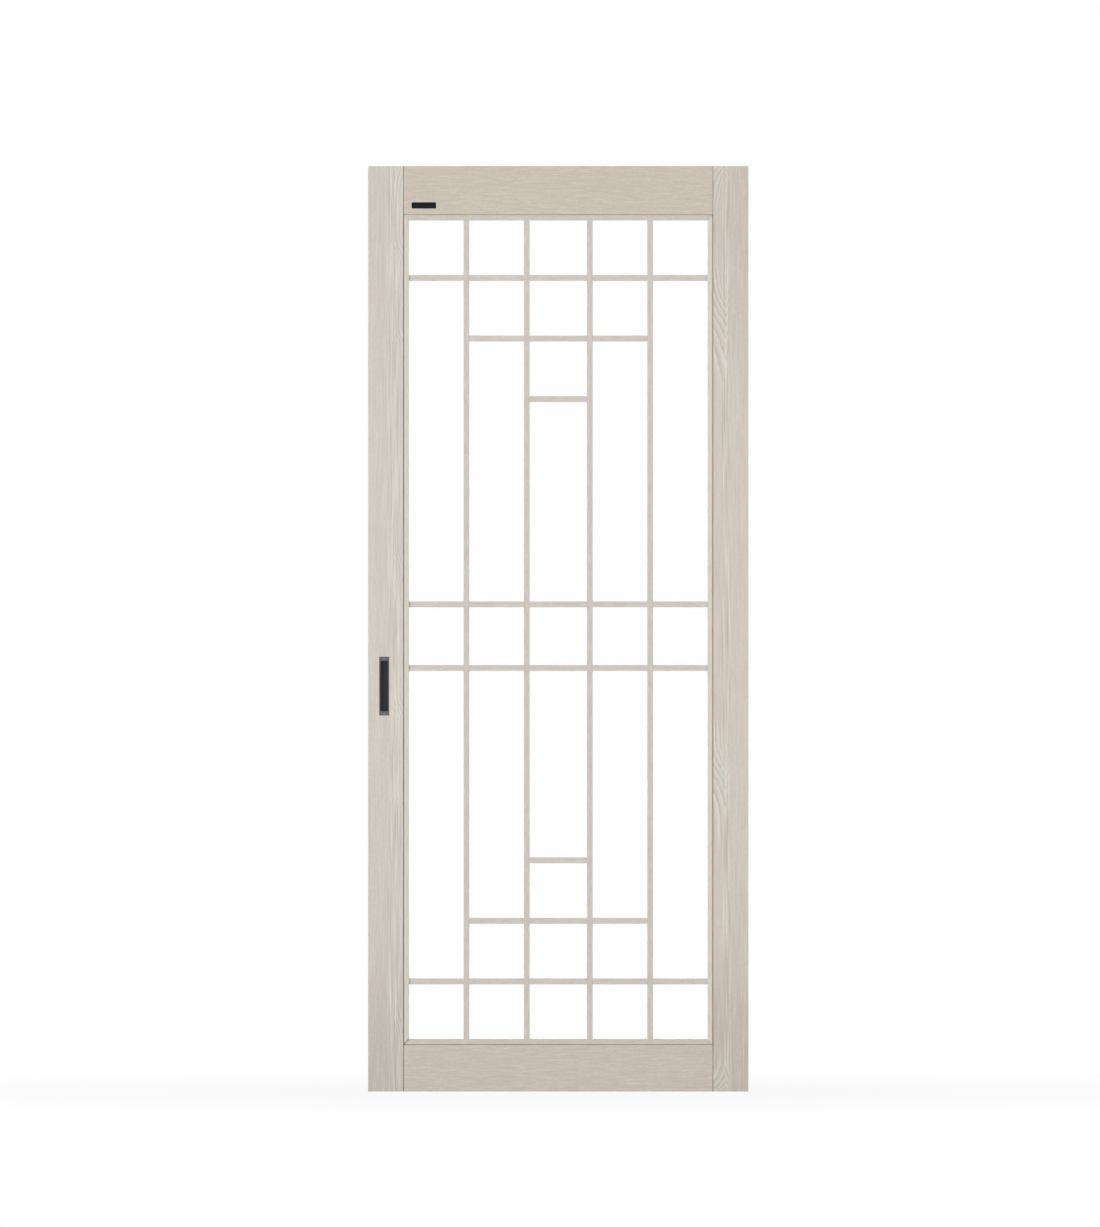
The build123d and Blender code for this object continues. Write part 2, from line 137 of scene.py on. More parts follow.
class Grain(Enum):
    """Which way the grain of a film runs on its piece."""

    UPRIGHT = ("Z", "X")
    LEVEL = ("X", "Z")

    @property
    def along(self) -> str:
        """The axis that the grain follows."""
        return self.value[0]

    @property
    def across(self) -> str:
        """The axis that crosses the grain on the leaf's faces."""
        return self.value[1]

    def streaks(
        self, tree: bpy.types.NodeTree, coords: bpy.types.NodeSocket, across_mm: float, along_mm: float
    ) -> bpy.types.NodeSocket:
        """Draw soft random streaks that lie along the grain.

        Args:
            tree: The material's node tree.
            coords: Object coordinates, in metres.
            across_mm: Width of a streak with its gap.
            along_mm: Length of a streak with its gap.

        Returns:
            The streaks' strength, about one half on average.
        """
        wide, long = 1 / (across_mm * MM), 1 / (along_mm * MM)
        scale = (wide, wide, long) if self is Grain.UPRIGHT else (long, wide, wide)
        space = add_node(tree, "ShaderNodeVectorMath", {"operation": "MULTIPLY"}, {0: coords, 1: scale})
        return add_node(
            tree,
            "ShaderNodeTexNoise",
            inputs={"Vector": space.outputs[0], "Scale": 1.0, "Detail": STREAK_DETAIL},
        ).outputs["Fac"]


class Wrap(Enum):
    """Which faces of a piece the film covers. The others are bare board."""

    ALL_ROUND = "all round"
    FACES = "front and back"
    OUTER_EDGE = "front, back and the edge away from the glass"
    SIGHT_EDGE = "front, back and the edge at the glass"


@dataclass(frozen=True)
class Finish:
    """What every finish has: a name, and a material made from it once."""

    name: str

    def material(self) -> bpy.types.Material:
        """Give the finish's material, making it on first use.

        Returns:
            The material, with its surface linked to the output.
        """
        made = bpy.data.materials.get(self.name)
        if made is None:
            made = bpy.data.materials.new(self.name)
            made.use_nodes = True
            made.node_tree.nodes.clear()
            surface = self.surface(made.node_tree)
            add_node(made.node_tree, "ShaderNodeOutputMaterial", inputs={"Surface": surface})
        return made

    def surface(self, tree: bpy.types.NodeTree) -> bpy.types.NodeSocket:
        """Build the finish's shader; each kind of finish has its own."""
        raise NotImplementedError


@dataclass(frozen=True)
class Figure:
    """Growth rings of a flat-sawn board: nested tongues on a heart line, and straight lines beside it.

    The dive gives how deep the heart lies under the face, as shares of the board's height and of the greatest
    depth. Where the depth changes fast the rings close in tongues, and where it changes slowly they run
    straight. The show gives how plain the rings are along the height. The tone gives painted shade along the
    height, which darkens the board towards its ends where the light falls off. Fine strands follow the heart
    all the way.
    """

    heart_m: float
    outward: float
    fade_mm: float
    dive: Knots
    show: Knots
    tone: Knots
    board_m: float
    ring_mm: float
    closeness: float
    band_mm: float
    deepest_mm: float = 60.0
    spread_mm: float = 33.0
    wander_mm: float = 3.5
    bend_mm: tuple[float, float] = (60.0, 170.0)
    ragged_mm: tuple[float, float] = (5.0, 28.0)
    ragged_share: float = 0.5
    fade_from: float = 0.6
    vigour_ramp: Ramp = Ramp(at_start=0.5)
    late_ramp: Ramp = Ramp(0.0, 0.22, 0.6, 0.0)
    early_ramp: Ramp = Ramp(0.2, 0.85, 0.9, 0.0)
    begun_ramp: Ramp = Ramp(0.1, 0.26)
    band_core: float = 0.4
    strand_mm: float = 3.6
    strand_stretch: float = 45.0
    pale_strand: Ramp = Ramp(0.5, 0.28)
    dark_strand: Ramp = Ramp(0.5, 0.72, 0.0, 0.6)

    def strokes(
        self, tree: bpy.types.NodeTree, coords: bpy.types.NodeSocket, grain: Grain
    ) -> tuple[bpy.types.NodeSocket, bpy.types.NodeSocket, bpy.types.NodeSocket]:
        """Draw the rings and the strands at the heart.

        Args:
            tree: The material's node tree.
            coords: Object coordinates, in metres.
            grain: The way that the board runs.

        Returns:
            How much pale wash, dark pore and painted shade there is, each from 0 to 1.
        """
        parts = add_node(tree, "ShaderNodeSeparateXYZ", inputs={0: coords})
        bend = grain.streaks(tree, coords, *self.bend_mm)
        bent = add_node(
            tree,
            "ShaderNodeMath",
            {"operation": "MULTIPLY_ADD"},
            {0: bend, 1: 2 * self.wander_mm * MM, 2: parts.outputs[grain.across]},
        ).outputs[0]
        middle = self.heart_m + self.wander_mm * MM
        off_heart = add_node(
            tree, "ShaderNodeMath", {"operation": "SUBTRACT"}, {0: bent, 1: middle}
        ).outputs[0]
        inside = add_node(
            tree, "ShaderNodeMath", {"operation": "MULTIPLY"}, {0: off_heart, 1: -self.outward}
        ).outputs[0]
        outside = add_node(
            tree,
            "ShaderNodeMath",
            {"operation": "MULTIPLY"},
            {0: off_heart, 1: self.outward * self.closeness},
        ).outputs[0]
        aside = add_node(tree, "ShaderNodeMath", {"operation": "MAXIMUM"}, {0: inside, 1: outside}).outputs[0]
        share = add_node(
            tree, "ShaderNodeMath", {"operation": "DIVIDE"}, {0: parts.outputs[grain.along], 1: self.board_m}
        ).outputs[0]
        traced = []
        for knots in (self.dive, self.show, self.tone):
            trace = add_node(tree, "ShaderNodeFloatCurve", inputs={"Value": share})
            points = trace.mapping.curves[0].points
            points[0].location, points[1].location = knots[0], knots[-1]
            for knot in knots[1:-1]:
                points.new(*knot)
            trace.mapping.update()
            traced.append(trace.outputs[0])
        depth_share, plainness, painted_end_shade = traced
        depth = add_node(
            tree, "ShaderNodeMath", {"operation": "MULTIPLY"}, {0: depth_share, 1: self.deepest_mm * MM}
        ).outputs[0]
        depth_squared = add_node(
            tree, "ShaderNodeMath", {"operation": "MULTIPLY"}, {0: depth, 1: depth}
        ).outputs[0]
        radius_squared = add_node(
            tree,
            "ShaderNodeMath",
            {"operation": "MULTIPLY_ADD"},
            {0: aside, 1: self.spread_mm * MM, 2: depth_squared},
        ).outputs[0]
        radius = add_node(tree, "ShaderNodeMath", {"operation": "SQRT"}, {0: radius_squared}).outputs[0]
        ragged = add_node(
            tree,
            "ShaderNodeMath",
            {"operation": "MULTIPLY_ADD"},
            {
                0: grain.streaks(tree, coords, *self.ragged_mm),
                1: self.ragged_share * self.ring_mm * MM,
                2: radius,
            },
        ).outputs[0]
        count = add_node(
            tree, "ShaderNodeMath", {"operation": "DIVIDE"}, {0: ragged, 1: self.ring_mm * MM}
        ).outputs[0]
        fade = Ramp(-self.fade_from * self.fade_mm * MM, -self.fade_mm * MM, 1.0, 0.0)
        reach = add_node(tree, "ShaderNodeMapRange", inputs=fade.inputs(inside)).outputs["Result"]
        shown = add_node(
            tree, "ShaderNodeMath", {"operation": "MULTIPLY"}, {0: reach, 1: plainness}
        ).outputs[0]
        rings = self.rings(tree, count, shown)
        strands = self.strands(tree, coords, grain, off_heart)
        pale, dark = (
            add_node(tree, "ShaderNodeMath", {"operation": "MAXIMUM"}, {0: ring, 1: strand}).outputs[0]
            for ring, strand in zip(rings, strands)
        )
        return pale, dark, painted_end_shade

    def rings(
        self, tree: bpy.types.NodeTree, count: bpy.types.NodeSocket, shown: bpy.types.NodeSocket
    ) -> tuple[bpy.types.NodeSocket, bpy.types.NodeSocket]:
        """Draw each ring as a thin dark line with a pale stroke beside it, some rings stronger than others.

        Args:
            tree: The material's node tree.
            count: How many rings lie between the heart and the place.
            shown: How plain the rings are at the place.

        Returns:
            How much pale wash and dark pore there is, each from 0 to 1.
        """
        season = add_node(tree, "ShaderNodeMath", {"operation": "FRACT"}, {0: count}).outputs[0]
        ring = add_node(tree, "ShaderNodeMath", {"operation": "FLOOR"}, {0: count}).outputs[0]
        vigour = add_node(
            tree, "ShaderNodeTexWhiteNoise", {"noise_dimensions": "1D"}, {"W": ring}
        ).outputs["Value"]
        growth, late, early, begun = (
            add_node(tree, "ShaderNodeMapRange", inputs=ramp.inputs(value)).outputs["Result"]
            for ramp, value in (
                (self.vigour_ramp, vigour),
                (self.late_ramp, season),
                (self.early_ramp, season),
                (self.begun_ramp, season),
            )
        )
        strength = add_node(
            tree, "ShaderNodeMath", {"operation": "MULTIPLY"}, {0: shown, 1: growth}
        ).outputs[0]
        filled = add_node(tree, "ShaderNodeMath", {"operation": "MULTIPLY"}, {0: early, 1: begun}).outputs[0]
        pale, dark = (
            add_node(tree, "ShaderNodeMath", {"operation": "MULTIPLY"}, {0: stroke, 1: strength}).outputs[0]
            for stroke in (filled, late)
        )
        return pale, dark

    def strands(
        self,
        tree: bpy.types.NodeTree,
        coords: bpy.types.NodeSocket,
        grain: Grain,
        off_heart: bpy.types.NodeSocket,
    ) -> tuple[bpy.types.NodeSocket, bpy.types.NodeSocket]:
        """Draw fine strands in a band along the heart.

        Args:
            tree: The material's node tree.
            coords: Object coordinates, in metres.
            grain: The way that the board runs.
            off_heart: Distance from the heart line, in metres.

        Returns:
            How much pale wash and dark pore there is, each from 0 to 1.
        """
        away = add_node(tree, "ShaderNodeMath", {"operation": "ABSOLUTE"}, {0: off_heart}).outputs[0]
        fade = Ramp(self.band_core * self.band_mm * MM, self.band_mm * MM, 1.0, 0.0)
        band = add_node(tree, "ShaderNodeMapRange", inputs=fade.inputs(away)).outputs["Result"]
        streaks = grain.streaks(tree, coords, self.strand_mm, self.strand_stretch * self.strand_mm)
        kept = []
        for ramp in (self.pale_strand, self.dark_strand):
            strand = add_node(tree, "ShaderNodeMapRange", inputs=ramp.inputs(streaks)).outputs["Result"]
            kept.append(
                add_node(tree, "ShaderNodeMath", {"operation": "MULTIPLY"}, {0: strand, 1: band}).outputs[0]
            )
        return kept[0], kept[1]


@dataclass(frozen=True)
class Seam:
    """The film's cut edge along both sides of a line where pieces meet: a hair of brown board, drawn wider and
    darker as painted shade of the joint line.

    The line lies at a distance on each side of a middle. With a slope it leans inward going up, as a mitre
    does. With a middle at the leaf's far edge, only the line on the near side falls on the leaf.
    """

    axis: str
    middle_m: float
    half_m: float
    width_mm: float
    slope: float = 0.0
    foot_m: float = 0.0

    def share(self, tree: bpy.types.NodeTree, coords: bpy.types.NodeSocket) -> bpy.types.NodeSocket:
        """Draw the seam.

        Args:
            tree: The material's node tree.
            coords: Object coordinates, in metres.

        Returns:
            One on the line, falling to zero at the seam's width.
        """
        parts = add_node(tree, "ShaderNodeSeparateXYZ", inputs={0: coords})
        offset = add_node(
            tree, "ShaderNodeMath", {"operation": "SUBTRACT"}, {0: parts.outputs[self.axis], 1: self.middle_m}
        ).outputs[0]
        away = add_node(tree, "ShaderNodeMath", {"operation": "ABSOLUTE"}, {0: offset}).outputs[0]
        lean = add_node(
            tree,
            "ShaderNodeMath",
            {"operation": "MULTIPLY_ADD"},
            {0: parts.outputs["Z"], 1: self.slope, 2: -self.half_m - self.slope * self.foot_m},
        ).outputs[0]
        past = add_node(tree, "ShaderNodeMath", {"operation": "ADD"}, {0: away, 1: lean}).outputs[0]
        gap = add_node(tree, "ShaderNodeMath", {"operation": "ABSOLUTE"}, {0: past}).outputs[0]
        fade = Ramp(0.0, self.width_mm * MM, 1.0, 0.0)
        return add_node(tree, "ShaderNodeMapRange", inputs=fade.inputs(gap)).outputs["Result"]


@dataclass(frozen=True)
class WoodFilm(Finish):
    """Matt printed film on wood-fibre board: pale ash with a white wash in its pores.

    The eye gets a warm greige ground that drifts between two hues, short pale and dull fibres, and on the
    stiles the strokes of the growth rings. Pores are drawn at four times their real size and the board's
    pressed fibres at a few times, because the real ones are too fine to show.
    """

    grain: Grain
    wrap: Wrap
    ground: str
    blush: str
    wash: str = "#E0DCD5"
    pore: str = "#A2968A"
    board: str = "#97805F"
    shred: str = "#7A6249"
    cut_edge_and_shade: str = "#6F5845"
    seams: tuple[Seam, ...] = ()
    figure: Figure | None = None
    middle_m: float = 0.0
    skin_from_mm: float = 9.0
    fibre_mm: float = 30.0
    fibre_width_mm: float = 2.4
    pore_mm: tuple[float, float] = (2.6, 9.0)
    pore_share: float = 0.4
    drift_mm: tuple[float, float] = (80.0, 240.0)
    drift_ramp: Ramp = Ramp(0.34, 0.66)
    pale_ramp: Ramp = Ramp(0.5, 0.3, 0.0, 0.42)
    dark_ramp: Ramp = Ramp(0.5, 0.7, 0.0, 0.24)
    shred_mm: float = 2.2
    shred_detail: float = 4.0
    shred_roughness: float = 0.7
    shred_ramp: Ramp = Ramp(0.3, 0.7)
    roughness_ramp: Ramp = Ramp(at_start=0.5, at_end=0.68)
    relief_mm: float = 0.1
    relief_strength: float = 0.3
    ior: float = 1.46
    face_from: float = 0.3
    edge_from: float = 0.1

    def surface(self, tree: bpy.types.NodeTree) -> bpy.types.NodeSocket:
        """Build the film's shader.

        Args:
            tree: The material's node tree.

        Returns:
            The shader's output socket.
        """
        coords = add_node(tree, "ShaderNodeTexCoord").outputs["Object"]
        fibres = self.grain.streaks(tree, coords, self.fibre_width_mm, self.fibre_mm)
        colour = self.printed(tree, coords, fibres)
        if self.wrap is not Wrap.ALL_ROUND:
            colour = add_node(
                tree,
                "ShaderNodeMix",
                {"data_type": "RGBA"},
                {"Factor": self.covered(tree, coords), COLOUR_A: self.bare(tree, coords), COLOUR_B: colour},
            ).outputs[COLOUR_MIXED]
        rough = add_node(
            tree, "ShaderNodeMapRange", inputs=self.roughness_ramp.inputs(fibres)
        ).outputs["Result"]
        relief = add_node(
            tree,
            "ShaderNodeBump",
            inputs={"Strength": self.relief_strength, "Distance": self.relief_mm * MM, "Height": fibres},
        ).outputs["Normal"]
        return add_node(
            tree,
            "ShaderNodeBsdfPrincipled",
            inputs={"Base Color": colour, "Roughness": rough, "IOR": self.ior, "Normal": relief},
        ).outputs[0]

    def printed(
        self, tree: bpy.types.NodeTree, coords: bpy.types.NodeSocket, fibres: bpy.types.NodeSocket
    ) -> bpy.types.NodeSocket:
        """Lay the print on the ground layer by layer, with the brown of the cut edges last, which is partly
        painted shade of the joints.

        Args:
            tree: The material's node tree.
            coords: Object coordinates, in metres.
            fibres: The pattern of the fibres.

        Returns:
            The film's colour.
        """
        pores = self.grain.streaks(tree, coords, *self.pore_mm)
        fleck = add_node(
            tree, "ShaderNodeMix", inputs={"Factor": self.pore_share, FLOAT_A: fibres, FLOAT_B: pores}
        ).outputs[0]
        drift = self.grain.streaks(tree, coords, *self.drift_mm)
        blushed, pale, dark = (
            add_node(tree, "ShaderNodeMapRange", inputs=ramp.inputs(value)).outputs["Result"]
            for ramp, value in ((self.drift_ramp, drift), (self.pale_ramp, fleck), (self.dark_ramp, fleck))
        )
        layers = [(blushed, self.blush)]
        if self.figure:
            ring_pale, ring_dark, painted_end_shade = self.figure.strokes(tree, coords, self.grain)
            pale, dark = (
                add_node(tree, "ShaderNodeMath", {"operation": "MAXIMUM"}, {0: fine, 1: ring}).outputs[0]
                for fine, ring in ((pale, ring_pale), (dark, ring_dark))
            )
            # Painted shade: the stiles turn towards the pore colour near their ends, where the light falls off.
            layers.append((painted_end_shade, self.pore))
        layers += [(pale, self.wash), (dark, self.pore)]
        # Painted shade: brown lines along the joints, the film's cut edge drawn dark to stand for the joints'
        # shade.
        layers += [(seam.share(tree, coords), self.cut_edge_and_shade) for seam in self.seams]
        colour: Any = to_linear(self.ground)
        for share, tone in layers:
            colour = add_node(
                tree,
                "ShaderNodeMix",
                {"data_type": "RGBA"},
                {"Factor": share, COLOUR_A: colour, COLOUR_B: to_linear(tone)},
            ).outputs[COLOUR_MIXED]
        return colour

    def bare(self, tree: bpy.types.NodeTree, coords: bpy.types.NodeSocket) -> bpy.types.NodeSocket:
        """Draw the bare board, in which pressed fibres lie every way.

        Args:
            tree: The material's node tree.
            coords: Object coordinates, in metres.

        Returns:
            The board's colour.
        """
        shreds = add_node(
            tree,
            "ShaderNodeTexNoise",
            inputs={
                "Vector": coords,
                "Scale": 1 / (self.shred_mm * MM),
                "Detail": self.shred_detail,
                "Roughness": self.shred_roughness,
            },
        ).outputs["Fac"]
        pressed = add_node(
            tree, "ShaderNodeMapRange", inputs=self.shred_ramp.inputs(shreds)
        ).outputs["Result"]
        return add_node(
            tree,
            "ShaderNodeMix",
            {"data_type": "RGBA"},
            {"Factor": pressed, COLOUR_A: to_linear(self.board), COLOUR_B: to_linear(self.shred)},
        ).outputs[COLOUR_MIXED]

    def covered(self, tree: bpy.types.NodeTree, coords: bpy.types.NodeSocket) -> bpy.types.NodeSocket:
        """Tell the faces that wear the film from sawn ends, routed grooves and edges hidden in the joints.

        Args:
            tree: The material's node tree.
            coords: Object coordinates, in metres.

        Returns:
            One on the film, and zero on the bare board.
        """
        normal = add_node(tree, "ShaderNodeTexCoord").outputs["Normal"]
        facing = add_node(tree, "ShaderNodeSeparateXYZ", inputs={0: normal})
        place = add_node(tree, "ShaderNodeSeparateXYZ", inputs={0: coords})
        flat, depth = (
            add_node(tree, "ShaderNodeMath", {"operation": "ABSOLUTE"}, {0: node.outputs["Y"]}).outputs[0]
            for node in (facing, place)
        )
        level, proud = (
            add_node(tree, "ShaderNodeMath", {"operation": "GREATER_THAN"}, {0: value, 1: limit}).outputs[0]
            for value, limit in ((flat, self.face_from), (depth, self.skin_from_mm * MM))
        )
        faces = add_node(tree, "ShaderNodeMath", {"operation": "MULTIPLY"}, {0: level, 1: proud}).outputs[0]
        if self.wrap is Wrap.FACES:
            return faces
        offset = add_node(
            tree,
            "ShaderNodeMath",
            {"operation": "SUBTRACT"},
            {0: place.outputs[self.grain.across], 1: self.middle_m},
        ).outputs[0]
        outward = add_node(
            tree,
            "ShaderNodeMath",
            {"operation": "MULTIPLY"},
            {0: facing.outputs[self.grain.across], 1: offset},
        ).outputs[0]
        sense, limit = "LESS_THAN", -self.edge_from
        if self.wrap is Wrap.OUTER_EDGE:
            sense, limit = "GREATER_THAN", self.edge_from
        edge = add_node(tree, "ShaderNodeMath", {"operation": sense}, {0: outward, 1: limit}).outputs[0]
        return add_node(tree, "ShaderNodeMath", {"operation": "MAXIMUM"}, {0: faces, 1: edge}).outputs[0]


@dataclass(frozen=True)
class FloatGlass(Finish):
    """Clear float glass: the eye gets the white behind it, a faint green and a mirror sheen at low angles."""

    tint: str = "#FDFEFD"
    ior: float = 1.52

    def surface(self, tree: bpy.types.NodeTree) -> bpy.types.NodeSocket:
        """Build the glass, which lets the lamps' light through to what lies behind it.

        Args:
            tree: The material's node tree.

        Returns:
            The shader's output socket.
        """
        glass = add_node(
            tree,
            "ShaderNodeBsdfPrincipled",
            inputs={
                "Base Color": to_linear(self.tint),
                "Roughness": 0.0,
                "IOR": self.ior,
                "Transmission Weight": 1.0,
            },
        )
        clear = add_node(tree, "ShaderNodeBsdfTransparent", inputs={"Color": to_linear(self.tint)})
        path = add_node(tree, "ShaderNodeLightPath")
        return add_node(
            tree,
            "ShaderNodeMixShader",
            inputs={0: path.outputs["Is Shadow Ray"], 1: glass.outputs[0], 2: clear.outputs[0]},
        ).outputs[0]


@dataclass(frozen=True)
class Coating(Finish):
    """A sprayed, plated or moulded surface: a faint mottle in its colour and a fine pebble in its gloss."""

    colour: str
    mottle: str
    roughness: float
    metallic: float = 0.0
    gloss: float = 0.5
    grit_mm: float = 1.2
    grit_detail: float = 3.0
    unevenness: float = 0.08
    relief_mm: float = 0.02
    relief_strength: float = 0.3

    def surface(self, tree: bpy.types.NodeTree) -> bpy.types.NodeSocket:
        """Build the coating's shader.

        Args:
            tree: The material's node tree.

        Returns:
            The shader's output socket.
        """
        coords = add_node(tree, "ShaderNodeTexCoord").outputs["Object"]
        grit = add_node(
            tree,
            "ShaderNodeTexNoise",
            inputs={"Vector": coords, "Scale": 1 / (self.grit_mm * MM), "Detail": self.grit_detail},
        ).outputs["Fac"]
        span = Ramp(at_start=self.roughness - self.unevenness, at_end=self.roughness + self.unevenness)
        rough = add_node(tree, "ShaderNodeMapRange", inputs=span.inputs(grit)).outputs["Result"]
        relief = add_node(
            tree,
            "ShaderNodeBump",
            inputs={"Strength": self.relief_strength, "Distance": self.relief_mm * MM, "Height": grit},
        ).outputs["Normal"]
        return add_node(
            tree,
            "ShaderNodeBsdfPrincipled",
            inputs={
                "Base Color": self.tone(tree, coords, grit),
                "Roughness": rough,
                "Metallic": self.metallic,
                "Specular IOR Level": self.gloss,
                "Normal": relief,
            },
        ).outputs[0]

    def tone(
        self, tree: bpy.types.NodeTree, coords: bpy.types.NodeSocket, grit: bpy.types.NodeSocket
    ) -> bpy.types.NodeSocket:
        """Mix the colour and its mottle.

        Args:
            tree: The material's node tree.
            coords: Object coordinates, in metres.
            grit: The mottle's pattern.

        Returns:
            The colour's output socket.
        """
        return add_node(
            tree,
            "ShaderNodeMix",
            {"data_type": "RGBA"},
            {"Factor": grit, COLOUR_A: to_linear(self.colour), COLOUR_B: to_linear(self.mottle)},
        ).outputs[COLOUR_MIXED]


@dataclass(frozen=True)
class ShadedCupCoating(Coating):
    """A coating whose sunk cup is painted almost black: partly the cup's own darker finish, partly painted
    shade of the recess.
    """

    # Painted shade: the cup is drawn much darker than the plate, partly standing in for the recess's shade.
    cup_and_shade: str = "#24282C"
    cup_from_m: float = 0.0172

    def tone(
        self, tree: bpy.types.NodeTree, coords: bpy.types.NodeSocket, grit: bpy.types.NodeSocket
    ) -> bpy.types.NodeSocket:
        """Mix the plate's colour, and below the leaf's faces the cup's almost black, which is partly painted
        shade of the recess.

        Args:
            tree: The material's node tree.
            coords: Object coordinates, in metres.
            grit: The mottle's pattern.

        Returns:
            The colour's output socket.
        """
        place = add_node(tree, "ShaderNodeSeparateXYZ", inputs={0: coords})
        depth = add_node(tree, "ShaderNodeMath", {"operation": "ABSOLUTE"}, {0: place.outputs["Y"]})
        sunk_shade = add_node(
            tree, "ShaderNodeMath", {"operation": "LESS_THAN"}, {0: depth.outputs[0], 1: self.cup_from_m}
        )
        plate = super().tone(tree, coords, grit)
        return add_node(
            tree,
            "ShaderNodeMix",
            {"data_type": "RGBA"},
            {"Factor": sunk_shade.outputs[0], COLOUR_A: plate, COLOUR_B: to_linear(self.cup_and_shade)},
        ).outputs[COLOUR_MIXED]


# Die-cast zinc sprayed satin anthracite: a grey plate with a soft sheen round an almost black cup, partly its
# own finish and partly painted shade of the recess.
ANTHRACITE_DIE_CAST = ShadedCupCoating("anthracite_sprayed_die_cast_zinc", "#5A5B60", "#646569", 0.45, gloss=0.25)
# Blackened steel: the screws match the pull, a shade brighter on their heads.
BLACKENED_STEEL = Coating("blackened_steel", "#6B6C70", "#7A7B7E", 0.38, metallic=0.6)
# Enamelled aluminium: near-black navy with an even satin gloss.
NAVY_ENAMEL = Coating("navy_enamelled_aluminium", "#0C1019", "#10141E", 0.4, gloss=0.12)
# Zinc-plated pressed steel: bright grey with a faint cloudy spangle.
ZINC_PLATE = Coating("zinc_plated_pressed_steel", "#B4B8BC", "#C6C9CC", 0.34, metallic=1.0, grit_mm=4.0)
# Moulded nylon in its natural colour: milky off-white with a soft gloss.
NATURAL_NYLON = Coating("natural_moulded_nylon", "#DAD6CB", "#E2DED4", 0.45)
# Sintered bronze: dull brown-gold, oil-soaked and fine-grained.
SINTERED_BRONZE = Coating("sintered_bronze", "#A37A4A", "#8A653C", 0.5, metallic=1.0, grit_mm=0.4)
# Closed-cell foam tape: dull warm grey.
FOAM_TAPE = Coating("closed_cell_foam_tape", "#B9B3A8", "#A8A297", 0.9, grit_mm=0.8, relief_mm=0.06)
# Black rubber: matt, almost without a highlight.
BLACK_RUBBER = Coating("black_rubber_block", "#2A2A2A", "#333332", 0.8)
# Turned beech: pale pink-brown with short dark flecks.
TURNED_BEECH = Coating("turned_beech", "#C9A67C", "#B98F63", 0.6, grit_mm=2.0)


@dataclass
class SubAssembly:
    """Pieces of the leaf that are dressed together."""

    nodes: Mapping[str, bpy.types.Object]

    def finishes(self) -> dict[str, Finish]:
        """Name the finish of each piece; each sub-assembly has its own."""
        raise NotImplementedError

    def dress(self) -> None:
        """Put its finish on each piece and report it."""
        for name, finish in self.finishes().items():
            materials = self.nodes[name].data.materials
            materials.clear()
            materials.append(finish.material())
            LOG.info("%s wears %s", name, finish.name)


